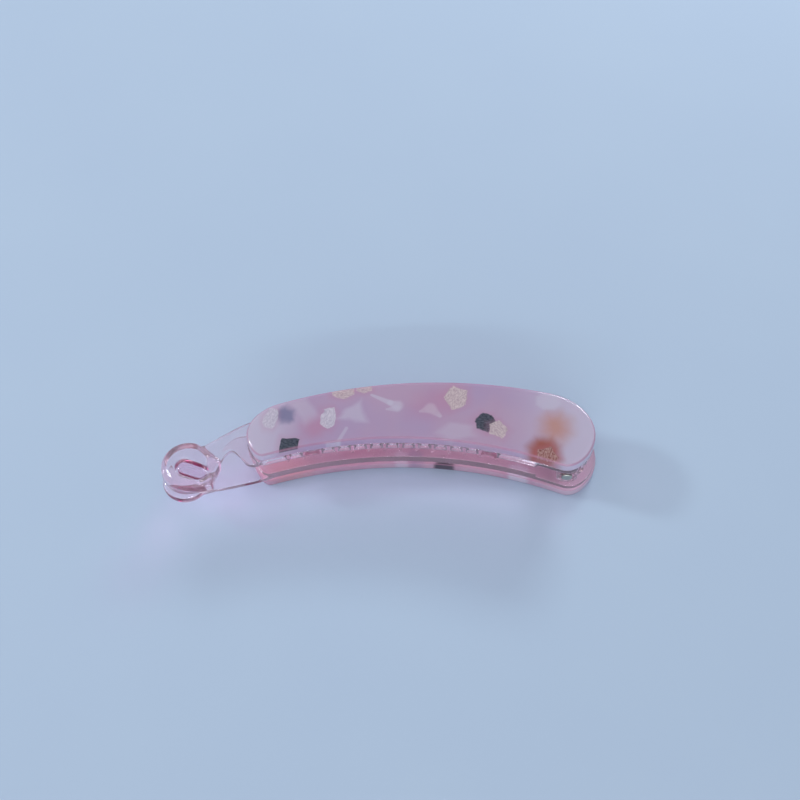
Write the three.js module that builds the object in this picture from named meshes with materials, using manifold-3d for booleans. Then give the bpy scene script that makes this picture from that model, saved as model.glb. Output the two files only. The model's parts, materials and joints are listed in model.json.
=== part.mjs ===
// Banana-style hair clip: two toothed clear jaws, one over the other, that turn on a steel
// pin at the right end and snap together at the left end, each faced with a polished cover.
// Millimetres, +Z up. The clip lies on its lower cover; its length runs along X with the catch
// at -X and the hinge at +X, and the outer side of the bend faces +Y.
import * as THREE from 'three';
import Module from 'manifold-3d';
import { mergeVertices } from 'three/addons/utils/BufferGeometryUtils.js';

const wasm = await Module();
wasm.setup();

// ---- Covers: a tapered bar bent along an arc, with four corners of different sizes --------
const BEND_RADIUS = 127.7;            // radius of the middle line of the covers
const COVER_HALF_LENGTH = 48.4;       // half of the length, measured along the arc
const COVER_WIDTH_CATCH = 14.2;
const COVER_WIDTH_HINGE = 22.2;
const COVER_THICKNESS = 3.0;
const COVER_ROUNDING = 0.8;           // edge radius of the outer face
const COVER_INNER_ROUNDING = 0.3;     // edge radius of the glued face
// Each corner is an elliptic quarter: how far it reaches along the bar, and across it.
const CORNERS = {
  outerCatch: { along: 11.1, across: 8.1 },
  innerCatch: { along: 2.8, across: 4.3 },
  outerHinge: { along: 15.4, across: 13.0 },
  innerHinge: { along: 6.6, across: 8.6 },
};
const LOWER_SHIFT = 1.1;              // the lower jaw sits this much nearer the hinge end

// ---- Jaw frames ---------------------------------------------------------------------------
const GLUE_GAP = 0.3;                 // glue line between a cover and its frame
const FRAME_INSET = 0.25;             // how far the cover overhangs its frame
const FRAME_THICKNESS = 1.8;
const JAW_GAP = 6.5;                  // clear height between the two frame plates
const RAIL_WIDTH = 1.1;               // lip along the rim of each frame, facing the gap
const RAIL_HEIGHT = 1.2;
const RAIL_TO_HINGE = 8.2;            // the lips stop this far short of the hinge axis
const END_LIP_HEIGHT = 1.0;           // lip round the hinge end of the upper frame
const END_LIP_FROM_HINGE = 4.6;       // starts this far beyond the hinge axis

// ---- Teeth --------------------------------------------------------------------------------
const TOOTH_PITCH = 4.66;
const TOOTH_FROM_CATCH = 9.9;         // first upper tooth, from the catch end along the arc
const TOOTH_TO_HINGE = 26.3;          // the row stops at least this far from the hinge end
const TOOTH_ROOT_RADIUS = 1.0;
const TOOTH_TIP_RADIUS = 0.7;
const TOOTH_RAIL_CLEARANCE = 0.2;     // tooth to the rail of the opposite frame
const TOOTH_END_CLEARANCE = 0.8;      // tip to the opposite frame plate
const STOP_LENGTH = 3.4;              // small blocks that stiffen the ends of the row
const STOP_WIDTH = 1.5;
const STOP_HEIGHT = 2.6;
const STOP_FROM_ENDS = 1.5;           // between teeth, counted in teeth from each end

// ---- Hinge --------------------------------------------------------------------------------
const HINGE_TO_END = 7.55;            // pin axis to the hinge end of the middle line
const LUG_NEAR_INSET = 0.81;          // near face of the near lug to the edge of its frame
const LUG_FAR_INSET = 1.65;
const PIN_RADIUS = 1.5;
const PIN_CLEARANCE = 0.25;
const PIN_PROUD = 0.2;                // each end stands out of the lugs
const PIN_EDGE = 0.25;
const LUG_WIDTH = 4.0;
const LUG_SIDE_CLEARANCE = 0.4;
const LUG_PLATE_CLEARANCE = 0.25;     // round end of a lug to the opposite frame plate
const LUG_ROOT_CATCH = 5.2;           // reach of the lug's root to each side of the axis
const LUG_ROOT_HINGE = 4.4;
const BARREL_ROOT = 3.4;

// ---- Catch: slotted head on the upper jaw over a round pad and post on the lower jaw ------
// Places are measured from the catch end of the middle line: along the bar, then outwards.
const HEAD_CENTRE = new THREE.Vector2(-17.12, -0.97);
const HEAD_WALL = 2.5;                // end of the slot to the rim of the head
const HEAD_BOTTOM_DROP = 1.9;         // below the underside of the upper frame plate
const HEAD_RISE = 0.8;                // rim above the top of the upper frame plate
const HEAD_ROUNDING = 0.9;
const HEAD_ARC = [50.3, 264.3];       // the round part of the head, in degrees
const HEAD_FLAT_SIDE = [[4.5, -8.8], [5.4, -5.9], [8.7, -2.3]];  // from its centre
const RIM_WIDTH = 1.6;                // round the shallow recess in the top of the head
const RECESS_DEPTH = 0.9;
const SLOT_CENTRE = new THREE.Vector2(-16.4, -2.12);
const SLOT_LENGTH = 9.6;
const SLOT_WIDTH = 4.7;
const SLOT_TURN = -41.7;              // degrees from the bar's own direction
const POST_CLEARANCE = 0.55;          // post to slot wall, all round
const POST_BELOW_HEAD = 1.4;          // top of the post below the rim of the head
const PAD_CENTRE = new THREE.Vector2(-18.39, -0.36);
const PAD_INSET = 0.9;                // pad radius inside the head's
const PAD_THICKNESS = 3.1;
const PAD_ROUNDING = 0.6;
// Edges of the tails that join each frame to its half of the catch.
const UPPER_TAIL_OUTER = [[5.7, 5.4], [1.4, 6.1], [-12.3, 3.5], [-15.7, 2.0]];
const UPPER_TAIL_INNER = [
  [-13.4, -3.2], [-9.2, -3.4], [-6.6, -1.2], [-4.5, -0.6], [-3.2, -2.8],
  [-2.2, -5.9], [-0.4, -7.2], [2.8, -7.1],
];
const LOWER_TAIL_OUTER = [
  [6.6, 5.1], [2.6, 6.4], [-0.2, 7.4], [-3.3, 7.2], [-5.9, 5.6], [-8.7, 2.9], [-12.7, 1.5],
];
const LOWER_TAIL_INNER = [[-17.0, -5.6], [-12.2, -6.0], [-5.1, -6.9], [1.3, -7.6], [4.3, -7.5]];

// ---- Heights, all from the stack of pieces ------------------------------------------------
const Z_LOWER_PLATE = COVER_THICKNESS + GLUE_GAP;
const Z_LOWER_TOP = Z_LOWER_PLATE + FRAME_THICKNESS;
const Z_UPPER_PLATE = Z_LOWER_TOP + JAW_GAP;
const Z_UPPER_TOP = Z_UPPER_PLATE + FRAME_THICKNESS;
const Z_UPPER_COVER = Z_UPPER_TOP + GLUE_GAP;
const Z_HINGE = Z_LOWER_TOP + JAW_GAP / 2;
const Z_HEAD_TOP = Z_UPPER_TOP + HEAD_RISE;
const Z_HEAD_BOTTOM = Z_UPPER_PLATE - HEAD_BOTTOM_DROP;
const LUG_RADIUS = JAW_GAP / 2 - LUG_PLATE_CLEARANCE;

// ---- Catch and teeth, from the sizes above ------------------------------------------------
const HEAD_RADIUS = SLOT_LENGTH / 2 + HEAD_WALL;
const RECESS_RADIUS = HEAD_RADIUS - RIM_WIDTH;
const PAD_RADIUS = HEAD_RADIUS - PAD_INSET;
const TOOTH_FIRST = TOOTH_FROM_CATCH - COVER_HALF_LENGTH;
const TOOTH_ROW = 2 * COVER_HALF_LENGTH - TOOTH_FROM_CATCH - TOOTH_TO_HINGE;
const TOOTH_COUNT = Math.floor(TOOTH_ROW / TOOTH_PITCH) + 1;

const STRAIGHT_STEPS = 28;
const CORNER_STEPS = 10;
const ROUND_STEPS = 40;
const OVERLAP = 0.2;                  // how far joined shapes run into each other
const FAR = 200;                      // larger than the clip, for cutting blocks

// ---- Solids -------------------------------------------------------------------------------
function solid(geometry) {
  const bare = geometry.index ? geometry.toNonIndexed() : geometry.clone();
  bare.deleteAttribute('normal');
  bare.deleteAttribute('uv');
  const merged = mergeVertices(bare, 1e-4);
  return new wasm.Manifold(new wasm.Mesh({
    numProp: 3,
    vertProperties: new Float32Array(merged.attributes.position.array),
    triVerts: new Uint32Array(merged.index.array),
  }));
}

function meshOf(manifold, name, material) {
  const raw = manifold.getMesh();
  const geometry = new THREE.BufferGeometry();
  geometry.setAttribute('position', new THREE.BufferAttribute(new Float32Array(raw.vertProperties), 3));
  geometry.setIndex(new THREE.BufferAttribute(new Uint32Array(raw.triVerts), 1));
  const flat = geometry.toNonIndexed();
  flat.computeVertexNormals();
  const mesh = new THREE.Mesh(flat, material);
  mesh.name = name;
  return mesh;
}

function joined(parts) {
  return parts.reduce((sum, part) => sum.add(part));
}

// Closed solid through a stack of outlines with equal point counts, lowest first.
function loft(rings) {
  const count = rings[0].points.length;
  const corners = rings.flatMap((ring) => ring.points.map((p) => [p.x, p.y, ring.z]));
  const faces = [];
  for (let r = 0; r + 1 < rings.length; r += 1) {
    for (let i = 0; i < count; i += 1) {
      const a = r * count + i;
      const b = r * count + ((i + 1) % count);
      faces.push([a, b, b + count], [a, b + count, a + count]);
    }
  }
  const top = (rings.length - 1) * count;
  for (const [a, b, c] of THREE.ShapeUtils.triangulateShape(rings[0].points, [])) {
    faces.push([c, b, a]);
  }
  for (const [a, b, c] of THREE.ShapeUtils.triangulateShape(rings[rings.length - 1].points, [])) {
    faces.push([top + a, top + b, top + c]);
  }
  const geometry = new THREE.BufferGeometry();
  const positions = faces.flat().flatMap((index) => corners[index]);
  geometry.setAttribute('position', new THREE.Float32BufferAttribute(positions, 3));
  return solid(geometry);
}

function slab(points, bottom, top) {
  return loft([{ points, z: bottom }, { points, z: top }]);
}

function block(x0, x1, y0, y1, z0, z1) {
  const geometry = new THREE.BoxGeometry(x1 - x0, y1 - y0, z1 - z0);
  geometry.translate((x0 + x1) / 2, (y0 + y1) / 2, (z0 + z1) / 2);
  return solid(geometry);
}

// Insets and heights that round the rim of a slab: quarter circles at its bottom and its top.
function roundedSteps(bottom, top, bottomRadius, topRadius, steps) {
  const rings = [];
  for (let i = 0; i <= steps; i += 1) {
    const angle = (Math.PI / 2) * (i / steps);
    rings.push({
      inset: bottomRadius * (1 - Math.sin(angle)),
      z: bottom + bottomRadius * (1 - Math.cos(angle)),
    });
  }
  for (let i = 0; i <= steps; i += 1) {
    const angle = (Math.PI / 2) * (i / steps);
    rings.push({
      inset: topRadius * (1 - Math.cos(angle)),
      z: top - topRadius * (1 - Math.sin(angle)),
    });
  }
  return rings;
}

// ---- Outlines -----------------------------------------------------------------------------
function onArc(along, out) {
  const angle = along / BEND_RADIUS;
  const radius = BEND_RADIUS + out;
  return new THREE.Vector2(radius * Math.sin(angle), radius * Math.cos(angle) - BEND_RADIUS);
}

// A point or outline of the catch, turned and moved to the catch end of the middle line.
function atCatchEnd(points) {
  const end = onArc(-COVER_HALF_LENGTH, 0);
  const turn = COVER_HALF_LENGTH / BEND_RADIUS;
  return points.map((p) => p.clone().rotateAround(new THREE.Vector2(), turn).add(end));
}

function halfWidth(along) {
  const share = (along + COVER_HALF_LENGTH) / (2 * COVER_HALF_LENGTH);
  return (COVER_WIDTH_CATCH + (COVER_WIDTH_HINGE - COVER_WIDTH_CATCH) * share) / 2;
}

function cornerDrop(reach, across) {
  return across * (1 - Math.sqrt(1 - reach * reach));
}

// One long side of the bar, from the catch end to the hinge end.
function barSide(side, catchCorner, hingeCorner, inset) {
  const half = COVER_HALF_LENGTH - inset;
  const catchAlong = catchCorner.along - inset;
  const hingeAlong = hingeCorner.along - inset;
  const places = [];
  for (let i = 0; i < CORNER_STEPS; i += 1) {
    const angle = (Math.PI / 2) * (i / CORNER_STEPS);
    places.push(-half + catchAlong * (1 - Math.cos(angle)));
  }
  for (let i = 0; i <= STRAIGHT_STEPS; i += 1) {
    const share = i / STRAIGHT_STEPS;
    places.push((-half + catchAlong) * (1 - share) + (half - hingeAlong) * share);
  }
  for (let i = 1; i <= CORNER_STEPS; i += 1) {
    const angle = (Math.PI / 2) * (i / CORNER_STEPS);
    places.push(half - hingeAlong + hingeAlong * Math.sin(angle));
  }
  return places.map((along) => {
    const catchReach = Math.min(Math.max((-half + catchAlong - along) / catchAlong, 0), 1);
    const hingeReach = Math.min(Math.max((along - half + hingeAlong) / hingeAlong, 0), 1);
    const out = halfWidth(along) - inset
      - cornerDrop(catchReach, catchCorner.across - inset)
      - cornerDrop(hingeReach, hingeCorner.across - inset);
    return onArc(along, side * out);
  });
}

function barOutline(inset, shift) {
  const outer = barSide(1, CORNERS.outerCatch, CORNERS.outerHinge, inset);
  const inner = barSide(-1, CORNERS.innerCatch, CORNERS.innerHinge, inset);
  const points = [...inner, ...outer.reverse()];
  return points.map((p) => new THREE.Vector2(p.x + shift, p.y));
}

function frameEdge(side) {
  const [catchCorner, hingeCorner] = side > 0
    ? [CORNERS.outerCatch, CORNERS.outerHinge]
    : [CORNERS.innerCatch, CORNERS.innerHinge];
  return barSide(side, catchCorner, hingeCorner, FRAME_INSET);
}

// Y of an edge, given from the catch end to the hinge end, where it crosses X.
function edgeAt(edge, x) {
  const next = edge.findIndex((p) => p.x > x);
  const [a, b] = [edge[next - 1], edge[next]];
  return a.y + ((b.y - a.y) * (x - a.x)) / (b.x - a.x);
}

function circle(centre, radius) {
  return new THREE.EllipseCurve(centre.x, centre.y, radius, radius).getPoints(ROUND_STEPS).slice(1);
}

function slotOutline(clearance) {
  const radius = SLOT_WIDTH / 2 - clearance;
  const reach = (SLOT_LENGTH - SLOT_WIDTH) / 2;
  const turn = THREE.MathUtils.degToRad(SLOT_TURN);
  const outline = new THREE.Path();
  outline.absarc(reach, 0, radius, -Math.PI / 2, Math.PI / 2, false);
  outline.absarc(-reach, 0, radius, Math.PI / 2, (3 * Math.PI) / 2, false);
  const points = outline.getPoints(CORNER_STEPS);
  return atCatchEnd(points.map((p) => p.rotateAround(new THREE.Vector2(), turn).add(SLOT_CENTRE)));
}

function headOutline(inset) {
  const [from, to] = HEAD_ARC.map(THREE.MathUtils.degToRad);
  const arc = new THREE.EllipseCurve(0, 0, HEAD_RADIUS, HEAD_RADIUS, from, to);
  const points = arc.getPoints(ROUND_STEPS);
  HEAD_FLAT_SIDE.forEach(([x, y]) => points.push(new THREE.Vector2(x, y)));
  const shrink = 1 - inset / HEAD_RADIUS;
  return atCatchEnd(points.map((p) => p.multiplyScalar(shrink).add(HEAD_CENTRE)));
}

function smooth(points, steps) {
  const curve = new THREE.SplineCurve(points.map(([x, y]) => new THREE.Vector2(x, y)));
  return atCatchEnd(curve.getPoints(steps));
}

function tail(outerEdge, innerEdge, bottom, top) {
  const outline = [...smooth(outerEdge, 24), ...smooth(innerEdge, 32)];
  return slab(outline, bottom, top);
}

// ---- Pieces of the jaws -------------------------------------------------------------------
function cover(bottom, innerFaceUp, shift) {
  const outerRadius = COVER_ROUNDING;
  const innerRadius = COVER_INNER_ROUNDING;
  const [low, high] = innerFaceUp ? [outerRadius, innerRadius] : [innerRadius, outerRadius];
  const steps = roundedSteps(bottom, bottom + COVER_THICKNESS, low, high, 3);
  return loft(steps.map(({ inset, z }) => ({ points: barOutline(inset, shift), z })));
}

function framePlate(bottom, shift) {
  return slab(barOutline(FRAME_INSET, shift), bottom, bottom + FRAME_THICKNESS);
}

function lip(bottom, top, shift) {
  const outside = slab(barOutline(FRAME_INSET, shift), bottom, top);
  const inside = slab(barOutline(FRAME_INSET + RAIL_WIDTH, shift), bottom - 1, top + 1);
  return outside.subtract(inside);
}

// A round tooth from its root height to its tip height, with a domed end.
function tooth(centre, root, tip) {
  const length = Math.abs(tip - root);
  const profile = [new THREE.Vector2(0, -OVERLAP), new THREE.Vector2(TOOTH_ROOT_RADIUS, -OVERLAP)];
  const dome = 4;
  for (let i = 0; i <= dome; i += 1) {
    const angle = (Math.PI / 2) * (i / dome);
    const radius = i === dome ? 0 : TOOTH_TIP_RADIUS * Math.cos(angle);
    profile.push(new THREE.Vector2(radius, length - TOOTH_TIP_RADIUS * (1 - Math.sin(angle))));
  }
  const geometry = new THREE.LatheGeometry(profile, 12);
  geometry.rotateX(tip > root ? Math.PI / 2 : -Math.PI / 2);
  geometry.translate(centre.x, centre.y, root);
  return solid(geometry);
}

// Row to middle line: the teeth stand just inside the rail of the opposite frame, which
// LOWER_SHIFT moves a little across them towards the ends of the bar.
function rowOffset(along) {
  const rail = FRAME_INSET + RAIL_WIDTH + LOWER_SHIFT * Math.abs(Math.sin(along / BEND_RADIUS));
  return halfWidth(along) - rail - TOOTH_RAIL_CLEARANCE - TOOTH_TIP_RADIUS;
}

function toothRow(side, count, first, shift, root, tip) {
  const teeth = [];
  for (let i = 0; i < count; i += 1) {
    const along = first + i * TOOTH_PITCH;
    const centre = onArc(along, side * rowOffset(along));
    centre.x += shift;
    teeth.push(tooth(centre, root, tip));
  }
  return teeth;
}

function stops() {
  return [STOP_FROM_ENDS, TOOTH_COUNT - STOP_FROM_ENDS].map((place) => {
    const along = TOOTH_FIRST + place * TOOTH_PITCH;
    const centre = onArc(along, -rowOffset(along));
    const geometry = new THREE.BoxGeometry(STOP_LENGTH, STOP_WIDTH, STOP_HEIGHT + OVERLAP);
    geometry.rotateZ(-along / BEND_RADIUS);
    geometry.translate(centre.x, centre.y, Z_UPPER_PLATE + (OVERLAP - STOP_HEIGHT) / 2);
    return solid(geometry);
  });
}

// Place of the hinge: its axis by the hinge end, its lugs by the edges of the upper frame.
const HINGE_X = onArc(COVER_HALF_LENGTH, 0).x - HINGE_TO_END;
const HINGE_NEAR_Y = edgeAt(frameEdge(-1), HINGE_X) + LUG_NEAR_INSET;
const HINGE_FAR_Y = edgeAt(frameEdge(1), HINGE_X) - LUG_FAR_INSET;

// Upright plate across the clip's width: a shape drawn in X and Z about the hinge axis.
function upright(shape, nearY, farY) {
  const geometry = new THREE.ExtrudeGeometry(shape, {
    depth: farY - nearY,
    bevelEnabled: false,
    curveSegments: ROUND_STEPS / 2,
  });
  geometry.rotateX(Math.PI / 2);
  geometry.translate(HINGE_X, farY, Z_HINGE);
  return solid(geometry);
}

// Lug that hangs from the frame above, or stands on the one below when turned over.
function lugShape(catchRoot, hingeRoot, upward) {
  const height = upward * (JAW_GAP / 2 + OVERLAP);
  const tilt = Math.PI / 12;
  const shape = new THREE.Shape();
  shape.moveTo(-catchRoot, height);
  if (upward > 0) {
    shape.absarc(0, 0, LUG_RADIUS, Math.PI - tilt, tilt, false);
  } else {
    shape.absarc(0, 0, LUG_RADIUS, Math.PI + tilt, -tilt, true);
  }
  shape.lineTo(hingeRoot, height);
  shape.closePath();
  return shape;
}

function rodAlongY(radius, nearY, farY) {
  const geometry = new THREE.CylinderGeometry(radius, radius, farY - nearY, ROUND_STEPS);
  geometry.translate(HINGE_X, (nearY + farY) / 2, Z_HINGE);
  return solid(geometry);
}

function hingePin() {
  const half = (HINGE_FAR_Y - HINGE_NEAR_Y) / 2 + PIN_PROUD;
  const profile = [
    new THREE.Vector2(0, -half),
    new THREE.Vector2(PIN_RADIUS - PIN_EDGE, -half),
    new THREE.Vector2(PIN_RADIUS, -half + PIN_EDGE),
    new THREE.Vector2(PIN_RADIUS, half - PIN_EDGE),
    new THREE.Vector2(PIN_RADIUS - PIN_EDGE, half),
    new THREE.Vector2(0, half),
  ];
  const geometry = new THREE.LatheGeometry(profile, 32);
  geometry.translate(HINGE_X, (HINGE_NEAR_Y + HINGE_FAR_Y) / 2, Z_HINGE);
  return solid(geometry);
}

// ---- Upper jaw ----------------------------------------------------------------------------
function head() {
  const steps = roundedSteps(Z_HEAD_BOTTOM, Z_HEAD_TOP, HEAD_ROUNDING / 2, HEAD_ROUNDING, 3);
  return loft(steps.map(({ inset, z }) => ({ points: headOutline(inset), z })));
}

function upperJaw() {
  const rail = lip(Z_UPPER_PLATE - RAIL_HEIGHT, Z_UPPER_PLATE + OVERLAP, 0);
  const endLip = lip(Z_UPPER_PLATE - END_LIP_HEIGHT, Z_UPPER_PLATE + OVERLAP, 0);
  const beyond = block(HINGE_X + END_LIP_FROM_HINGE, FAR, -FAR, FAR, 0, FAR);
  const before = block(-FAR, HINGE_X - RAIL_TO_HINGE, -FAR, FAR, 0, FAR);
  const lug = lugShape(LUG_ROOT_CATCH, LUG_ROOT_HINGE, 1);
  const body = joined([
    framePlate(Z_UPPER_PLATE, 0),
    rail.intersect(before),
    endLip.intersect(beyond),
    ...toothRow(-1, TOOTH_COUNT, TOOTH_FIRST, 0, Z_UPPER_PLATE, Z_LOWER_TOP + TOOTH_END_CLEARANCE),
    ...stops(),
    tail(UPPER_TAIL_OUTER, UPPER_TAIL_INNER, Z_UPPER_PLATE, Z_UPPER_TOP),
    head(),
    upright(lug, HINGE_NEAR_Y, HINGE_NEAR_Y + LUG_WIDTH),
    upright(lug, HINGE_FAR_Y - LUG_WIDTH, HINGE_FAR_Y),
  ]);
  const bore = rodAlongY(PIN_RADIUS + PIN_CLEARANCE, -FAR, FAR);
  const slot = slab(slotOutline(0), 0, FAR);
  const recess = slab(atCatchEnd(circle(HEAD_CENTRE, RECESS_RADIUS)), Z_HEAD_TOP - RECESS_DEPTH, FAR);
  return body.subtract(bore).subtract(slot).subtract(recess);
}

// ---- Lower jaw ----------------------------------------------------------------------------
function pad() {
  const top = Z_LOWER_PLATE + PAD_THICKNESS;
  const steps = roundedSteps(Z_LOWER_PLATE, top, PAD_ROUNDING, PAD_ROUNDING, 2);
  return loft(steps.map(({ inset, z }) => {
    const points = atCatchEnd(circle(PAD_CENTRE, PAD_RADIUS - inset));
    return { points, z };
  }));
}

function lowerJaw() {
  const rail = lip(Z_LOWER_TOP - OVERLAP, Z_LOWER_TOP + RAIL_HEIGHT, LOWER_SHIFT);
  const before = block(-FAR, HINGE_X - RAIL_TO_HINGE, -FAR, FAR, 0, FAR);
  const barrel = lugShape(BARREL_ROOT, BARREL_ROOT, -1);
  const inset = LUG_WIDTH + LUG_SIDE_CLEARANCE;
  const body = joined([
    framePlate(Z_LOWER_PLATE, LOWER_SHIFT),
    rail.intersect(before),
    ...toothRow(1, TOOTH_COUNT - 1, TOOTH_FIRST + TOOTH_PITCH / 2, LOWER_SHIFT,
      Z_LOWER_TOP, Z_UPPER_PLATE - TOOTH_END_CLEARANCE),
    tail(LOWER_TAIL_OUTER, LOWER_TAIL_INNER, Z_LOWER_PLATE, Z_LOWER_TOP),
    pad(),
    slab(slotOutline(POST_CLEARANCE), Z_LOWER_PLATE + 1, Z_HEAD_TOP - POST_BELOW_HEAD),
    upright(barrel, HINGE_NEAR_Y + inset, HINGE_FAR_Y - inset),
  ]);
  return body.subtract(rodAlongY(PIN_RADIUS + PIN_CLEARANCE, -FAR, FAR));
}

// ---- The clip -----------------------------------------------------------------------------
function clearPink() {
  return new THREE.MeshStandardMaterial({
    color: 0xe8b4cc, roughness: 0.08, metalness: 0, transparent: true, opacity: 0.6,
  });
}

function milkyMauve() {
  return new THREE.MeshStandardMaterial({ color: 0xb99ab8, roughness: 0.15, metalness: 0 });
}

const steel = new THREE.MeshStandardMaterial({ color: 0xb8bab4, roughness: 0.25, metalness: 1 });

const clip = new THREE.Group();
clip.add(meshOf(lowerJaw(), 'lower_jaw', clearPink()));
clip.add(meshOf(upperJaw(), 'upper_jaw', clearPink()));
clip.add(meshOf(cover(0, true, LOWER_SHIFT), 'lower_cover', milkyMauve()));
clip.add(meshOf(cover(Z_UPPER_COVER, false, 0), 'upper_cover', milkyMauve()));
clip.add(meshOf(hingePin(), 'hinge_pin', steel));

// Stand the origin under the middle of the whole clip.
const bounds = new THREE.Box3().setFromObject(clip);
const middle = bounds.getCenter(new THREE.Vector3());
clip.position.set(-middle.x, -middle.y, -bounds.min.z);

export default clip;
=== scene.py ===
# %% [markdown]
# # A banana hair clip, closed on a table
#
# The clip is two long toothed jaws of clear pink plastic, one over the other. They turn on a
# steel pin at one end and snap together at the other, and each wears a polished cover cut
# from milky sheet with coloured chips in it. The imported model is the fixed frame: every
# piece below takes its place from there.

# %% Load the frame
import json
import math

import bmesh
import bpy
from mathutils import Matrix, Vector


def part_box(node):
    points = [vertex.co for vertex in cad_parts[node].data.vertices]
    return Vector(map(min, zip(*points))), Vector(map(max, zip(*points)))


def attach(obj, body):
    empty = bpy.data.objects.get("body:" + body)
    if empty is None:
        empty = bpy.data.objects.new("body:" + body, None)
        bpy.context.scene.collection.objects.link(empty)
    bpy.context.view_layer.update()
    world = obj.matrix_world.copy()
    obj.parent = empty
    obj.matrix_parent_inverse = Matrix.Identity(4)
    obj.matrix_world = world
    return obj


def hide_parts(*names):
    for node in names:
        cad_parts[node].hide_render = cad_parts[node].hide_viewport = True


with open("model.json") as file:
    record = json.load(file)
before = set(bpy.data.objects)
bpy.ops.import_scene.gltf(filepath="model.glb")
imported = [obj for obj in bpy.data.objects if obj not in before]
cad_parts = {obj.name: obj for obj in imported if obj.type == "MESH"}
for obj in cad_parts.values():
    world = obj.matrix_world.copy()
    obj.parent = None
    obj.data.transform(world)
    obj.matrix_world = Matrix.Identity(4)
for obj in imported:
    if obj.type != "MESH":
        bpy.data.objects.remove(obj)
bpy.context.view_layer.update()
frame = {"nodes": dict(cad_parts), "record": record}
MM = 0.001
print("frame nodes:", sorted(frame["nodes"]))

# %% [markdown]
# ## The table
#
# A plain table, much wider than the clip, so that its edge stays out of view. Clear plastic
# shows whatever is behind it, and over a bare pale surface its own edges show best.

# %% Table
TABLE_SIZE = 3.0


def plain_table():
    made = bmesh.new()
    bmesh.ops.create_grid(made, x_segments=1, y_segments=1, size=TABLE_SIZE / 2)
    mesh = bpy.data.meshes.new("table_top")
    made.to_mesh(mesh)
    made.free()
    table = bpy.data.objects.new("table_top", mesh)
    bpy.context.scene.collection.objects.link(table)
    return table


table = plain_table()
print("table:", TABLE_SIZE, "m across")

# %% [markdown]
# ## The light
#
# The light is that of a pale room. A wide soft lamp overhead and a low fill in front light
# the covers evenly and reach into the gap between the jaws. A long strip in front lays a
# line of light along the near edges. Two small bright windows, one behind and one at the
# left, put the glints on the catch and the rims. The room itself is a plain bluish glow.

# %% Lamps and room light
LAMP_COLOUR = (0.90, 0.95, 1.0)
ROOM_COLOUR = (0.84, 0.90, 1.0, 1)
ROOM_STRENGTH = 0.40


def soft_lamp(name, place, aim, size, power):
    light = bpy.data.lights.new(name, "AREA")
    light.shape = "RECTANGLE"
    light.size, light.size_y = size
    light.energy = power
    light.color = LAMP_COLOUR
    lamp = bpy.data.objects.new(name, light)
    lamp.location = place
    lamp.rotation_euler = (Vector(aim) - Vector(place)).to_track_quat("-Z", "Y").to_euler()
    bpy.context.scene.collection.objects.link(lamp)
    return lamp


LAMPS = [
    # name, place, aim, size, watts
    ("overhead_softbox", (0.15, -0.45, 1.30), (0, 0, 0.01), (1.6, 1.4), 3.0),
    ("front_strip", (0.05, -0.90, 0.50), (0, 0, 0.01), (1.0, 0.035), 2.0),
    ("front_fill", (0.00, -1.00, 0.35), (0, 0, 0.01), (1.2, 0.50), 3.2),
    ("window_behind", (0.30, 0.62, 0.30), (0, 0, 0.01), (0.30, 0.10), 2.8),
    ("window_left", (-0.62, 0.16, 0.42), (-0.03, 0, 0.01), (0.10, 0.08), 1.8),
]
for lamp_name, lamp_place, lamp_aim, lamp_size, watts in LAMPS:
    soft_lamp(lamp_name, lamp_place, lamp_aim, lamp_size, watts)

room = bpy.data.worlds.new("room")
bpy.context.scene.world = room
room.use_nodes = True
room.node_tree.nodes["Background"].inputs["Color"].default_value = ROOM_COLOUR
room.node_tree.nodes["Background"].inputs["Strength"].default_value = ROOM_STRENGTH
bpy.context.scene.view_settings.view_transform = "Standard"

# %% [markdown]
# ## The camera
#
# The camera looks down from the inner side of the bend through a long lens, so the far edge
# of a cover is hardly smaller than the near one. It aims at the middle of the upper cover,
# which is the frame's top mount. A small lens shift then places the clip in the view.

# %% Camera
TOP_MOUNT = next(mount for mount in frame["record"]["mounts"] if mount["name"] == "top_face")
TOP_OF_BEND = Vector(TOP_MOUNT["pos_m"])
VIEW_TURN = math.radians(0.5)
VIEW_RISE = math.radians(58)
VIEW_DISTANCE = 0.45
LENS_LENGTH = 74.25
LENS_SHIFT = (-0.0266, 0.0119)

backwards = Vector((
    math.sin(VIEW_TURN) * math.cos(VIEW_RISE),
    -math.cos(VIEW_TURN) * math.cos(VIEW_RISE),
    math.sin(VIEW_RISE),
))
lens = bpy.data.cameras.new("camera")
lens.lens = LENS_LENGTH
lens.sensor_width = 36
lens.shift_x, lens.shift_y = LENS_SHIFT
lens.clip_start = 0.01
camera = bpy.data.objects.new("camera", lens)
camera.location = TOP_OF_BEND + backwards * VIEW_DISTANCE
camera.rotation_euler = backwards.to_track_quat("Z", "Y").to_euler()
bpy.context.scene.collection.objects.link(camera)
bpy.context.scene.camera = camera
print("camera at", [round(v, 3) for v in camera.location])

# %% [markdown]
# ## Small helpers for materials
#
# Every finish below is a node tree on Object coordinates, in millimetres, so that a pattern
# keeps its real size. A few one-line helpers keep the trees readable.

# %% Node helpers


def srgb(red, green, blue):
    """A colour as it is seen on a screen, 0 to 255, as linear numbers."""
    def linear(v):
        v = v / 255
        return v / 12.92 if v <= 0.04045 else ((v + 0.055) / 1.055) ** 2.4
    return (linear(red), linear(green), linear(blue), 1.0)


def new_group(name, inputs, outputs):
    """An empty node group with named sockets, as (tree, input node, output node)."""
    tree = bpy.data.node_groups.new(name, "ShaderNodeTree")
    for label, kind, value in inputs:
        socket = tree.interface.new_socket(label, in_out="INPUT", socket_type=kind)
        if value is not None:
            socket.default_value = value
    for label, kind in outputs:
        tree.interface.new_socket(label, in_out="OUTPUT", socket_type=kind)
    return tree, tree.nodes.new("NodeGroupInput"), tree.nodes.new("NodeGroupOutput")


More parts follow.
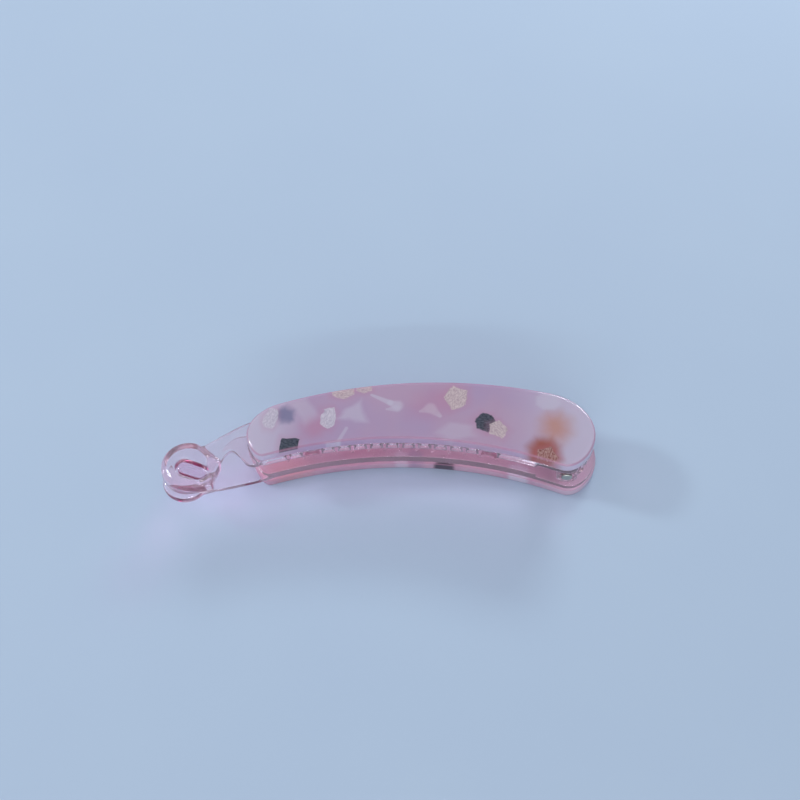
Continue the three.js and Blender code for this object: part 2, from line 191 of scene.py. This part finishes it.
def feed(tree, socket, value):
    """Links a socket to another, or sets it to a plain value."""
    if isinstance(value, bpy.types.NodeSocket):
        tree.links.new(value, socket)
    else:
        socket.default_value = value


def maths(tree, operation, *values, clamp=False):
    node = tree.nodes.new("ShaderNodeMath")
    node.operation = operation
    node.use_clamp = clamp
    for socket, value in zip(node.inputs, values):
        feed(tree, socket, value)
    return node.outputs[0]


def vector_maths(tree, operation, *values):
    node = tree.nodes.new("ShaderNodeVectorMath")
    node.operation = operation
    for socket, value in zip(node.inputs, values):
        feed(tree, socket, value)
    return node.outputs[0]


def blended(tree, share, first, second):
    """Colour first where share is 0, second where it is 1."""
    node = tree.nodes.new("ShaderNodeMix")
    node.data_type = "RGBA"
    node.clamp_factor = True
    feed(tree, node.inputs[0], share)
    feed(tree, node.inputs[6], first)
    feed(tree, node.inputs[7], second)
    return node.outputs[2]


def ramped(tree, value, low, high, at_low=0.0, at_high=1.0, smooth=True):
    node = tree.nodes.new("ShaderNodeMapRange")
    node.interpolation_type = "SMOOTHSTEP" if smooth else "LINEAR"
    for socket, number in zip(node.inputs, (value, low, high, at_low, at_high)):
        feed(tree, socket, number)
    return node.outputs[0]


def noise(tree, place, scale, detail=2.0, roughness=0.5, stretch=None):
    node = tree.nodes.new("ShaderNodeTexNoise")
    if stretch:
        place = vector_maths(tree, "MULTIPLY", place, stretch)
    feed(tree, node.inputs["Vector"], place)
    node.inputs["Scale"].default_value = scale
    node.inputs["Detail"].default_value = detail
    node.inputs["Roughness"].default_value = roughness
    return node.outputs["Fac"]


def placed(tree, group, **values):
    """A group node in a tree, with its inputs fed."""
    node = tree.nodes.new("ShaderNodeGroup")
    node.node_tree = group
    for label, value in values.items():
        feed(tree, node.inputs[label.replace("_", " ")], value)
    return node


def new_material(name):
    """A material with its Principled shader, and Object coordinates in millimetres."""
    material = bpy.data.materials.new(name)
    material.use_nodes = True
    tree = material.node_tree
    coords = tree.nodes.new("ShaderNodeTexCoord").outputs["Object"]
    return material, tree, tree.nodes["Principled BSDF"], vector_maths(tree, "MULTIPLY", coords, (1000,) * 3)


def bumped(tree, shader, height, depth_mm, strength=1.0):
    node = tree.nodes.new("ShaderNodeBump")
    node.inputs["Strength"].default_value = strength
    node.inputs["Distance"].default_value = depth_mm * MM
    feed(tree, node.inputs["Height"], height)
    tree.links.new(node.outputs["Normal"], shader.inputs["Normal"])


print("white as a linear colour:", srgb(255, 255, 255))

# %% [markdown]
# ## Marks from handling
#
# A clip that lives in a bag picks up hair-fine scratches and faint finger smears. Both are
# worked out once, in a group that the plastic, the covers and the pin share, each with its
# own strength. Fine noise stretched along two directions makes the scratches, and broad soft
# noise makes the smears.

# %% Handling marks group


def handling_marks():
    tree, given, result = new_group(
        "handling_marks",
        [("Place", "NodeSocketVector", None), ("Scratches", "NodeSocketFloat", 0.3),
         ("Smears", "NodeSocketFloat", 0.3), ("Gloss Roughness", "NodeSocketFloat", 0.08)],
        [("Roughness", "NodeSocketFloat"), ("Height", "NodeSocketFloat")],
    )
    place = given.outputs["Place"]
    lines = None
    for turn, seed in ((0.35, 3.0), (1.9, 17.0)):
        node = tree.nodes.new("ShaderNodeMapping")
        node.inputs["Rotation"].default_value = (0.2, 0.1, turn)
        node.inputs["Location"].default_value = (seed, seed, 0)
        tree.links.new(place, node.inputs["Vector"])
        streaks = noise(tree, node.outputs[0], 1.0, 3.0, 0.6, (0.12, 5.0, 1.2))
        thin = ramped(tree, streaks, 0.66, 0.74)
        lines = thin if lines is None else maths(tree, "MAXIMUM", lines, thin)
    scratches = maths(tree, "MULTIPLY", lines, given.outputs["Scratches"])
    smear = ramped(tree, noise(tree, place, 0.16, 4.0, 0.6), 0.42, 0.7)
    smears = maths(tree, "MULTIPLY", smear, given.outputs["Smears"])
    rough = maths(tree, "MULTIPLY_ADD", scratches, 0.25, given.outputs["Gloss Roughness"])
    rough = maths(tree, "MULTIPLY_ADD", smears, 0.12, rough, clamp=True)
    tree.links.new(rough, result.inputs["Roughness"])
    tree.links.new(maths(tree, "MULTIPLY", scratches, -1.0), result.inputs["Height"])
    return tree


MARKS = handling_marks()
print("group:", MARKS.name)

# %% [markdown]
# ## The table's finish
#
# A smooth, matt, pale blue board with the faintest grain and a slow drift of tone. It
# reflects little, so that the clip's own reflections stay the brightest things in view.

# %% Table finish
BOARD_TONES = (srgb(177, 193, 213), srgb(181, 197, 215))


def pale_board():
    material, tree, shader, place = new_material("pale_board")
    tone = noise(tree, place, 0.02, 2.0)
    colour = blended(tree, tone, *BOARD_TONES)
    tree.links.new(colour, shader.inputs["Base Color"])
    grain = noise(tree, place, 3.0, 3.0)
    tree.links.new(ramped(tree, grain, 0.3, 0.7, 0.75, 0.85), shader.inputs["Roughness"])
    shader.inputs["Specular IOR Level"].default_value = 0.2
    bumped(tree, shader, grain, 0.01, 0.3)
    return material


table.data.materials.append(pale_board())
print("table finish:", table.data.materials[0].name)

# %% [markdown]
# ## Clear pink plastic
#
# The jaws are moulded from clear styrene with a trace of red dye. The dye is through the
# whole plastic, so a thin wall is nearly clear and a long way through it is pinker, which
# absorption inside the volume gives. On top of that, upright walls get a painted tint, pinker
# than flat faces, and at the slot, the pad and three spots along the frames the walls are
# painted crimson: painted shade for the dark colour the eye sees where it looks along the
# plastic. Faint flow lines from moulding ripple the faces.

# %% Clear pink plastic
CLEAR_SHARE = 0.93
PLASTIC_IOR = 1.5
FLAT_TINTS = ((0.91, 0.86, 0.90, 1), (0.95, 0.91, 0.94, 1))
PAINTED_WALL_TINT = (0.96, 0.84, 0.90, 1)
CRIMSON_PAINTED_SHADE = (0.32, 0.01, 0.07, 1)
JAW_THROUGH = (0.93, 0.88, 0.90, 1)


def levelness(tree):
    """1 on a level face and 0 on an upright wall."""
    facing = tree.nodes.new("ShaderNodeSeparateXYZ")
    tree.links.new(tree.nodes.new("ShaderNodeNewGeometry").outputs["Normal"], facing.inputs[0])
    return maths(tree, "ABSOLUTE", facing.outputs[2])


def let_lamps_through(tree, shader, tint):
    """Lamp light crosses the plastic straight, so what is under it isn't black with shadow."""
    path = tree.nodes.new("ShaderNodeLightPath")
    open_way = tree.nodes.new("ShaderNodeBsdfTransparent")
    open_way.inputs["Color"].default_value = tint
    mix = tree.nodes.new("ShaderNodeMixShader")
    tree.links.new(path.outputs["Is Shadow Ray"], mix.inputs[0])
    tree.links.new(shader.outputs[0], mix.inputs[1])
    tree.links.new(open_way.outputs[0], mix.inputs[2])
    tree.links.new(mix.outputs[0], tree.nodes["Material Output"].inputs["Surface"])


DYE_PER_MM = (0.006, 0.028, 0.014)
DYE_HEADROOM = 1.25
# middle in mm, and how far the painted crimson shade reaches
CRIMSON_SHADE_PLACES = [
    ((-50.6, -9.9, 12.0), 6.8),
    ((-57.8, -13.4, 4.6), 5.2),
    ((-18.8, -1.9, 9.3), 2.6),
    ((29.9, -1.7, 9.3), 2.6),
    ((-35.0, -8.6, 4.4), 2.6),
]


def painted_crimson_spots(tree, place):
    """1 in the spots of painted crimson shade and 0 away from them, a little streaky."""
    crimson_shade_share = None
    for middle, reach in CRIMSON_SHADE_PLACES:
        gap = tree.nodes.new("ShaderNodeVectorMath")
        gap.operation = "DISTANCE"
        feed(tree, gap.inputs[0], place)
        feed(tree, gap.inputs[1], middle)
        near = ramped(tree, gap.outputs["Value"], reach * 0.85, reach, 1.0, 0.0)
        crimson_shade_share = near if crimson_shade_share is None else maths(tree, "MAXIMUM", crimson_shade_share, near)
    streaks = noise(tree, place, 0.5, 3.0, 0.6, (1.0, 1.0, 0.3))
    return maths(tree, "MULTIPLY", crimson_shade_share, ramped(tree, streaks, 0.3, 0.6, 0.75, 1.0))


def clear_pink():
    material, tree, shader, place = new_material("clear_pink")
    marks = placed(tree, MARKS, Place=place, Scratches=0.25, Smears=0.3, Gloss_Roughness=0.015)
    cloud = noise(tree, place, 0.08, 3.0)
    tint = blended(tree, cloud, *FLAT_TINTS)
    # painted tint: upright walls pinker, for the longer way light takes through the dyed wall
    upright = ramped(tree, levelness(tree), 0.6, 0.1)
    tint = blended(tree, upright, tint, PAINTED_WALL_TINT)
    # painted shade: crimson on the upright walls at the listed places
    crimson_shade_share = maths(tree, "MULTIPLY", painted_crimson_spots(tree, place), upright)
    tint = blended(tree, crimson_shade_share, tint, CRIMSON_PAINTED_SHADE)
    tree.links.new(tint, shader.inputs["Base Color"])
    tree.links.new(marks.outputs["Roughness"], shader.inputs["Roughness"])
    shader.inputs["Transmission Weight"].default_value = CLEAR_SHARE
    shader.inputs["IOR"].default_value = PLASTIC_IOR
    flow = noise(tree, place, 0.35, 2.0, 0.5, (0.5, 1.0, 1.0))
    bumped(tree, shader, maths(tree, "MULTIPLY_ADD", marks.outputs["Height"], 0.1, flow), 0.03, 0.4)
    dye = tree.nodes.new("ShaderNodeVolumeAbsorption")
    strongest = max(DYE_PER_MM) * DYE_HEADROOM
    dye.inputs["Color"].default_value = (*(1 - amount / strongest for amount in DYE_PER_MM), 1)
    dye.inputs["Density"].default_value = strongest / MM
    tree.links.new(dye.outputs[0], tree.nodes["Material Output"].inputs["Volume"])
    let_lamps_through(tree, shader, JAW_THROUGH)
    return material


CLEAR_PINK = clear_pink()
print("dye density:", round(max(DYE_PER_MM) * DYE_HEADROOM / MM, 1), "per metre")

# %% [markdown]
# ## The two jaws
#
# A mould has no knife edges, and it is the small rounds that catch the light on clear
# plastic. A bevel works on the sharp edges of a drawn shape, but these bodies are cut and
# joined from many, and their slivers would stop it short. So each jaw gets an even skin of
# small squares first, by a voxel remesh of a merged copy of its frame node. Nine passes of
# smoothing then wear every edge and inner corner round by about the size of a square. The
# catch is moulded rounder than the rest, like a bead, so its end of each jaw gets more passes.

# %% Worn moulding
SKIN_SQUARE = 0.26 * MM
WEAR_PASSES = 9
CATCH_PASSES = [(-41 * MM, 6), (-44 * MM, 16)]


def finished(mesh_source, name, material, body, smooth_angle=35):
    """An object from a bmesh, smooth up to an angle, riding on a body."""
    mesh = bpy.data.meshes.new(name)
    mesh_source.to_mesh(mesh)
    mesh_source.free()
    mesh.materials.append(material)
    mesh.shade_smooth()
    mesh.set_sharp_from_angle(angle=math.radians(smooth_angle))
    piece = bpy.data.objects.new(name, mesh)
    bpy.context.scene.collection.objects.link(piece)
    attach(piece, body)
    return piece


def merged_copy(node):
    """The node's mesh with its loose triangles joined and its flat faces whole."""
    shape = bmesh.new()
    shape.from_mesh(frame["nodes"][node].data)
    bmesh.ops.remove_doubles(shape, verts=shape.verts, dist=0.002 * MM)
    bmesh.ops.dissolve_limit(
        shape, angle_limit=math.radians(0.6), verts=shape.verts, edges=shape.edges)
    return shape


def even_skin(shape, square):
    """The same shape with a skin of small even squares, as a new bmesh."""
    mesh = bpy.data.meshes.new("drawn")
    shape.to_mesh(mesh)
    shape.free()
    drawn = bpy.data.objects.new("drawn", mesh)
    bpy.context.scene.collection.objects.link(drawn)
    remesh = drawn.modifiers.new("even skin", "REMESH")
    remesh.mode = "VOXEL"
    remesh.voxel_size = square
    remesh.adaptivity = 0
    seen = drawn.evaluated_get(bpy.context.evaluated_depsgraph_get())
    skin = bmesh.new()
    skin.from_mesh(seen.to_mesh())
    seen.to_mesh_clear()
    bpy.data.objects.remove(drawn)
    bpy.data.meshes.remove(mesh)
    return skin


def worn(shape, passes, beyond=math.inf):
    """Smooths the points whose X is below a limit, which is all of them unless one is given."""
    points = [point for point in shape.verts if point.co.x < beyond]
    for _ in range(passes):
        bmesh.ops.smooth_vert(
            shape, verts=points, factor=0.5, use_axis_x=True, use_axis_y=True, use_axis_z=True)
    return shape


for node, body in (("lower_jaw", "lower"), ("upper_jaw", "upper")):
    moulding = worn(even_skin(merged_copy(node), SKIN_SQUARE), WEAR_PASSES)
    for limit, passes in CATCH_PASSES:
        worn(moulding, passes, limit)
    jaw = finished(moulding, node + "_moulding", CLEAR_PINK, body, 180)
    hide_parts(node)
    print(node, "faces:", len(jaw.data.polygons))

# %% [markdown]
# ## Chips in the sheet
#
# The sheet is cast with broken chips of other sheets in it, then sawn and polished. A chip
# at the surface is crisp, and one deeper down is blurred by the milky plastic above it.
# Each chip is an even polygon worked out in a group from its middle, turn, length, width and
# sides, and a coarse noise with its own seed bends and tears it out of true. Its dye bleeds a
# little into the sheet round it, which is the halo. The group is kept small, because every
# chip adds all its steps to the material, and a material that is too long renders black.

# %% Chip group


def chip_group():
    tree, given, result = new_group(
        "chip",
        [("Place", "NodeSocketVector", None), ("Middle", "NodeSocketVector", None),
         ("Turn", "NodeSocketFloat", 0.0), ("Stretch", "NodeSocketVector", None),
         ("Half Wedge", "NodeSocketFloat", 0.6), ("Seed", "NodeSocketFloat", 1.0),
         ("Warp", "NodeSocketVector", None), ("Inner", "NodeSocketFloat", 0.95),
         ("Outer", "NodeSocketFloat", 1.05)],
        [("Mask", "NodeSocketFloat"), ("Halo", "NodeSocketFloat"), ("Grain", "NodeSocketFloat")],
    )
    offset = vector_maths(tree, "SUBTRACT", given.outputs["Place"], given.outputs["Middle"])
    bend = tree.nodes.new("ShaderNodeTexNoise")
    bend.noise_dimensions = "4D"
    tree.links.new(offset, bend.inputs["Vector"])
    tree.links.new(given.outputs["Seed"], bend.inputs["W"])
    bend.inputs["Scale"].default_value = 0.22
    bend.inputs["Detail"].default_value = 3.0
    bend.inputs["Roughness"].default_value = 0.45
    centred = vector_maths(tree, "SUBTRACT", bend.outputs["Color"], (0.5, 0.5, 0.5))
    bent = vector_maths(tree, "MULTIPLY_ADD", centred, given.outputs["Warp"], offset)
    turn = tree.nodes.new("ShaderNodeVectorRotate")
    turn.rotation_type = "Z_AXIS"
    tree.links.new(bent, turn.inputs["Vector"])
    tree.links.new(given.outputs["Turn"], turn.inputs["Angle"])
    drawn = vector_maths(tree, "MULTIPLY", turn.outputs[0], given.outputs["Stretch"])
    reach = tree.nodes.new("ShaderNodeVectorMath")
    reach.operation = "LENGTH"
    tree.links.new(drawn, reach.inputs[0])
    split = tree.nodes.new("ShaderNodeSeparateXYZ")
    tree.links.new(drawn, split.inputs[0])
    angle = maths(tree, "ARCTAN2", split.outputs[1], split.outputs[0])
    within = maths(tree, "PINGPONG", angle, given.outputs["Half Wedge"])
    edge = maths(tree, "MULTIPLY", reach.outputs["Value"], maths(tree, "COSINE", within))
    mask = ramped(tree, edge, given.outputs["Inner"], given.outputs["Outer"], 1.0, 0.0)
    tree.links.new(mask, result.inputs["Mask"])
    tree.links.new(ramped(tree, edge, 0.9, 1.9, 1.0, 0.0), result.inputs["Halo"])
    grain = noise(tree, turn.outputs[0], 1.7, 4.0, 0.6, (0.7, 1.5, 1.0))
    tree.links.new(grain, result.inputs["Grain"])
    return tree


CHIP = chip_group()
print("group:", CHIP.name)

# %% [markdown]
# ## Curls in the sheet
#
# Thin milky sheet that folded or curled as it set shows as pale hooks and wisps. Each is a
# few straight soft strokes, end to end. A stroke is worked out in a group from its two ends
# and its half width at each: how far a point is from the line, divided by the width there.

# %% Stroke group


def stroke_group():
    """A soft stroke from Start to End, half as wide as Thin at one end and Thick at the other."""
    tree, given, result = new_group(
        "stroke",
        [("Place", "NodeSocketVector", None), ("Start", "NodeSocketVector", None),
         ("End", "NodeSocketVector", None), ("Thin", "NodeSocketFloat", 0.3),
         ("Thick", "NodeSocketFloat", 1.0)],
        [("Mask", "NodeSocketFloat")],
    )

    def dot(first, second):
        node = tree.nodes.new("ShaderNodeVectorMath")
        node.operation = "DOT_PRODUCT"
        feed(tree, node.inputs[0], first)
        feed(tree, node.inputs[1], second)
        return node.outputs["Value"]

    from_start = vector_maths(tree, "SUBTRACT", given.outputs["Place"], given.outputs["Start"])
    line = vector_maths(tree, "SUBTRACT", given.outputs["End"], given.outputs["Start"])
    share = maths(tree, "DIVIDE", dot(from_start, line), dot(line, line), clamp=True)
    on_line = tree.nodes.new("ShaderNodeVectorMath")
    on_line.operation = "SCALE"
    feed(tree, on_line.inputs[0], line)
    feed(tree, on_line.inputs["Scale"], share)
    away = vector_maths(tree, "SUBTRACT", from_start, on_line.outputs[0])
    gap = maths(tree, "SQRT", dot(away, away))
    step = maths(tree, "SUBTRACT", given.outputs["Thick"], given.outputs["Thin"])
    width = maths(tree, "MULTIPLY_ADD", share, step, given.outputs["Thin"])
    ratio = maths(tree, "DIVIDE", gap, width)
    tree.links.new(ramped(tree, ratio, 0.5, 1.3, 1.0, 0.0), result.inputs["Mask"])
    return tree


STROKE = stroke_group()
print("group:", STROKE.name)

# %% [markdown]
# ## Milky chip sheet
#
# The sheet is a mauve-pink cellulose plastic, milky enough to hide the frame glued beneath
# it and polished to a high gloss. Its colour drifts along the clip: paler at both ends, pinker
# and more purple in the middle. Light wanders a little way under the surface before it comes
# out again, so some subsurface scattering softens the whole piece. Where the outer edge turns
# over, the eye looks along more of the sheet, so a thin darker pink line of painted shade is
# laid along it. Each chip's tones are one colour for a blurred chip, or two that its grain
# mixes for a crisp one.

# %% Milky sheet
CRISP = 0.15
HALO_STRENGTH = 0.22
RIM_SHADE_STRENGTH = 0.55
RIM_SHADE_PINK = srgb(168, 112, 140)
SHEET_IOR = 1.49
SHEET_DEPTH = 2.6 * MM
WHITE_CHIP = (srgb(176, 168, 184), srgb(214, 208, 216))
CREAM_CHIP = (srgb(172, 150, 156), srgb(212, 196, 194))
BLACK_CHIP = (srgb(34, 40, 52), srgb(84, 92, 104))
AMBER = (srgb(154, 76, 50),)
TAN = (srgb(186, 126, 100),)
MILK = (srgb(195, 187, 203),)
BLUE_SHADE = (srgb(116, 114, 146),)
BROWN = (srgb(120, 62, 58), srgb(190, 156, 150))
BLUSH = srgb(184, 124, 150)
BLUSH_CLOUD = (BLUSH,)
SHEET_THROUGH = (0.52, 0.44, 0.48, 1)


def with_strokes(tree, colour, from_above, strokes):
    for start, end, thin, thick, strength in strokes:
        stroke = placed(
            tree, STROKE, Place=from_above, Start=(*start, 0), End=(*end, 0), Thin=thin, Thick=thick)
        share = maths(tree, "MULTIPLY", stroke.outputs["Mask"], strength)
        colour = blended(tree, share, colour, MILK[0])
    return colour


def with_chips(tree, colour, from_above, chips, in_layer):
    """Blurred chips go all through the sheet. Crisp ones stay in its top layer."""
    for seed, (middle, turn, size, sides, bend, blur, strength, tones) in enumerate(chips):
        chip = placed(
            tree, CHIP, Place=from_above, Middle=(*middle, 0), Turn=math.radians(-turn),
            Stretch=(2 / size[0], 2 / size[1], 0), Half_Wedge=math.pi / sides,
            Seed=seed * 3.7, Warp=(bend, bend, 0), Inner=1 - blur, Outer=1 + blur)
        share = chip.outputs["Mask"]
        chip_colour = tones[0]
        if blur < CRISP:
            halo = maths(tree, "MULTIPLY", chip.outputs["Halo"], HALO_STRENGTH)
            colour = blended(tree, halo, colour, BLUSH)
            share = maths(tree, "MULTIPLY", share, in_layer)
            chip_colour = blended(tree, ramped(tree, chip.outputs["Grain"], 0.3, 0.7), *tones)
        share = maths(tree, "MULTIPLY", share, strength)
        colour = blended(tree, share, colour, chip_colour)
    return colour


def milky_sheet(name, chips, strokes, drift, base_low, base_high, pale, chip_levels):
    material, tree, shader, place = new_material(name)
    marks = placed(tree, MARKS, Place=place, Scratches=0.12, Smears=0.35, Gloss_Roughness=0.07)
    flat = vector_maths(tree, "MULTIPLY", place, (1, 1, 0.4))
    cloud = noise(tree, flat, 0.055, 2.0)
    colour = blended(tree, ramped(tree, cloud, 0.35, 0.65), base_low, base_high)
    split = tree.nodes.new("ShaderNodeSeparateXYZ")
    tree.links.new(place, split.inputs[0])
    for start, end in drift:
        share = ramped(tree, split.outputs[0], start, end, 0.0, 0.85)
        colour = blended(tree, share, colour, pale)
    from_above = vector_maths(tree, "MULTIPLY", place, (1, 1, 0))
    in_layer = ramped(tree, split.outputs[2], *chip_levels)
    colour = with_strokes(tree, colour, from_above, strokes)
    colour = with_chips(tree, colour, from_above, chips, in_layer)
    level = levelness(tree)
    # painted shade: a darker pink line on the rounded edge, between the level top and the upright side
    rim = maths(tree, "MULTIPLY", ramped(tree, level, 0.98, 0.8), ramped(tree, level, 0.2, 0.45))
    colour = blended(tree, maths(tree, "MULTIPLY", rim, RIM_SHADE_STRENGTH), colour, RIM_SHADE_PINK)
    tree.links.new(colour, shader.inputs["Base Color"])
    tree.links.new(marks.outputs["Roughness"], shader.inputs["Roughness"])
    shader.inputs["IOR"].default_value = SHEET_IOR
    shader.inputs["Subsurface Weight"].default_value = 0.6
    shader.inputs["Subsurface Radius"].default_value = (1.0, 0.7, 0.8)
    shader.inputs["Subsurface Scale"].default_value = SHEET_DEPTH
    wave = noise(tree, place, 0.09, 2.0)
    bumped(tree, shader, maths(tree, "MULTIPLY_ADD", marks.outputs["Height"], 0.05, wave), 0.05, 0.5)
    let_lamps_through(tree, shader, SHEET_THROUGH)
    return material


print("sheet finish ready: halo", HALO_STRENGTH, "and rim line", RIM_SHADE_STRENGTH)

# %% [markdown]
# ## The chips of each sheet
#
# Blurred chips are listed before crisp ones, because each is laid over those before it. The
# first of each list are broad clouds of tan, amber or pink. The last four of the lower sheet
# show only when the clip is opened or turned over.

# %% Chips and sheets
# middle (x, y), turn, (length, width), sides, bend in mm, blur, strength, tones
UPPER_CHIPS = [
    ((47.6, 1.9), 0, (7.5, 8.5), 8, 3.0, 0.8, 0.7, TAN),
    ((44.2, -6.2), 0, (8.6, 8.6), 8, 2.0, 0.5, 0.9, AMBER),
    ((-17.8, 1.2), 10, (6.0, 6.0), 8, 2.0, 0.8, 0.5, BLUSH_CLOUD),
    ((14.6, 9.2), 20, (13.0, 8.0), 8, 3.0, 0.8, 0.4, BLUSH_CLOUD),
    ((-25.6, 5.4), 60, (4.8, 4.0), 5, 4.0, 0.55, 0.8, BLUE_SHADE),
    ((-20.4, 6.6), -60, (7.5, 4.4), 4, 3.0, 0.50, 0.35, MILK),
    ((-7.2, 5.8), 15, (5.0, 4.2), 3, 3.0, 0.42, 0.5, MILK),
    ((21.0, 0.4), 5, (9.5, 4.6), 5, 2.0, 0.35, 0.35, MILK),
    ((45.9, 10.3), 0, (6.6, 5.6), 8, 1.0, 0.22, 0.6, MILK),
    ((-29.8, 4.0), 80, (6.2, 3.4), 6, 2.5, 0.14, 0.75, WHITE_CHIP),
    ((-14.0, 4.1), 100, (5.6, 3.8), 5, 4.0, 0.06, 0.85, WHITE_CHIP),
    ((-10.3, 12.9), 5, (6.0, 4.2), 6, 2.5, 0.07, 0.85, CREAM_CHIP),
    ((-4.7, 14.2), 0, (4.4, 3.6), 6, 1.5, 0.10, 0.75, CREAM_CHIP),
    ((20.5, 11.4), 70, (6.4, 5.6), 5, 3.0, 0.05, 0.9, CREAM_CHIP),
    ((28.3, 3.3), 15, (5.6, 5.0), 6, 4.5, 0.08, 0.96, BLACK_CHIP),
    ((31.9, 0.9), -35, (4.8, 4.2), 5, 3.5, 0.05, 0.85, CREAM_CHIP),
    ((-24.4, -4.8), -8, (4.8, 4.6), 4, 2.2, 0.04, 0.97, BLACK_CHIP),
    ((44.8, -7.3), 100, (5.2, 5.2), 5, 2.5, 0.10, 0.9, BROWN),
]
LOWER_CHIPS = [
    ((-26.0, -4.0), 0, (12.0, 7.0), 8, 3.0, 0.8, 0.3, TAN),
    ((-5.0, 2.0), 20, (12.0, 8.0), 8, 3.0, 0.8, 0.5, BLUSH_CLOUD),
    ((5.5, -0.6), 0, (4.0, 4.0), 5, 2.0, 0.3, 0.5, MILK),
    ((9.5, -0.2), 0, (4.0, 4.0), 5, 2.0, 0.4, 0.4, BLUE_SHADE),
    ((17.6, -3.4), 0, (5.6, 5.0), 6, 2.0, 0.25, 0.85, BLACK_CHIP[:1]),
    ((37.9, -5.2), 0, (5.4, 5.4), 6, 2.0, 0.3, 0.75, MILK),
    ((28.0, 9.0), 40, (6.4, 5.0), 6, 3.0, 0.04, 0.95, WHITE_CHIP),
    ((-12.0, 9.0), 70, (5.6, 4.4), 5, 3.0, 0.04, 0.95, CREAM_CHIP),
    ((44.0, 6.0), 20, (5.4, 4.8), 6, 4.0, 0.05, 0.95, BLACK_CHIP),
    ((-29.0, 3.0), 60, (5.6, 3.8), 5, 2.5, 0.06, 0.9, WHITE_CHIP),
]
# start (x, y), end (x, y), half width at each, strength: a curl, a fold and a wisp
UPPER_STROKES = [
    ((-2.6, 11.8), (2.6, 9.3), 0.4, 0.9, 0.6),
    ((2.6, 9.3), (4.6, 8.4), 0.9, 1.7, 0.55),
    ((4.4, 7.5), (1.6, 7.2), 1.2, 0.3, 0.45),
    ((-9.1, 1.1), (-11.2, -3.1), 0.5, 0.55, 0.45),
    ((-11.2, -3.1), (-14.2, -3.7), 0.55, 0.5, 0.5),
    ((10.8, 6.6), (13.6, 7.6), 0.4, 1.7, 0.7),
    ((13.6, 7.6), (16.2, 5.2), 1.7, 0.6, 0.7),
]
MAUVE = (srgb(174, 150, 179), srgb(180, 152, 176), srgb(194, 186, 204))
ROSE = (srgb(178, 142, 162), srgb(186, 152, 170), srgb(192, 174, 190))
UPPER_Z = [corner[2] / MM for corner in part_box("upper_cover")]
UPPER_SHEET = milky_sheet(
    "upper_chip_sheet", UPPER_CHIPS, UPPER_STROKES, [(-18, -34), (30, 58)], *MAUVE,
    (UPPER_Z[1] - 1.1, UPPER_Z[1] - 0.6))
ALL_THROUGH = (-1, -0.5)
LOWER_SHEET = milky_sheet(
    "lower_chip_sheet", LOWER_CHIPS, [], [(-30, -44), (36, 60)], *ROSE, ALL_THROUGH)
print("chips:", len(UPPER_CHIPS), "in the upper sheet,", len(LOWER_CHIPS), "in the lower")

# %% [markdown]
# ## The covers
#
# Each cover is sawn to the bent, tapering outline and tumbled until its outer edge is round.
# The frame node already has that shape, so a merged copy is enough. It is smoothed so that
# the rounded edge reads as one soft surface.

# %% Covers
for node, body, sheet in (("lower_cover", "lower", LOWER_SHEET), ("upper_cover", "upper", UPPER_SHEET)):
    cover = finished(merged_copy(node), node + "_sheet", sheet, body, 50)
    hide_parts(node)
    print(node, "faces:", len(cover.data.polygons))

# %% [markdown]
# ## The hinge pin
#
# A plain steel pin, cropped from wire and tumbled. It is spun from a half profile with a
# small round at each end, in the box that the frame gives it.

# %% Pin shape
PIN_LOW, PIN_HIGH = (Vector(corner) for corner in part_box("hinge_pin"))
PIN_RADIUS = (PIN_HIGH.x - PIN_LOW.x) / 2
PIN_CROWN = 0.35 * MM
CROWN_STEPS = 4


def pin_shape():
    """A closed pin round Y: half a profile, spun once round."""
    middle = (PIN_LOW + PIN_HIGH) / 2
    half = (PIN_HIGH.y - PIN_LOW.y) / 2
    profile = [(0.0, -half), (PIN_RADIUS - PIN_CROWN, -half)]
    for step in range(1, CROWN_STEPS + 1):
        angle = math.radians(90 * step / CROWN_STEPS)
        inwards = PIN_CROWN * (1 - math.sin(angle))
        upwards = PIN_CROWN * (1 - math.cos(angle))
        profile.append((PIN_RADIUS - inwards, -half + upwards))
    profile += [(radius, -along) for radius, along in reversed(profile)]
    shape = bmesh.new()
    points = [shape.verts.new((middle.x + radius, middle.y + along, middle.z)) for radius, along in profile]
    edges = [shape.edges.new(pair) for pair in zip(points, points[1:])]
    bmesh.ops.spin(
        shape, geom=points + edges, cent=middle, axis=(0, 1, 0), angle=math.tau,
        steps=48, use_merge=True, use_duplicate=False)
    bmesh.ops.remove_doubles(shape, verts=shape.verts, dist=0.001 * MM)
    bmesh.ops.recalc_face_normals(shape, faces=shape.faces)
    return shape


print("pin shape:", round(PIN_RADIUS * 2 / MM, 2), "mm across, crown", round(PIN_CROWN / MM, 2), "mm")

# %% [markdown]
# ## The pin's steel
#
# Drawn wire is slightly dull. Noise stretched along the pin makes the fine lines of drawing,
# which show as speckle on the cropped ends, and scratches from handling roughen it further.

# %% Pin finish


def turned_steel():
    material, tree, shader, place = new_material("turned_steel")
    marks = placed(tree, MARKS, Place=place, Scratches=0.6, Smears=0.3, Gloss_Roughness=0.28)
    lines = noise(tree, place, 1.0, 3.0, 0.6, (6.0, 0.4, 6.0))
    colour = blended(tree, lines, srgb(150, 150, 138), srgb(214, 216, 208))
    tree.links.new(colour, shader.inputs["Base Color"])
    shader.inputs["Metallic"].default_value = 1.0
    tree.links.new(marks.outputs["Roughness"], shader.inputs["Roughness"])
    bumped(tree, shader, lines, 0.03, 0.4)
    return material


pin = finished(pin_shape(), "hinge_pin_steel", turned_steel(), "lower")
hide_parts("hinge_pin")
print("pin faces:", len(pin.data.polygons))
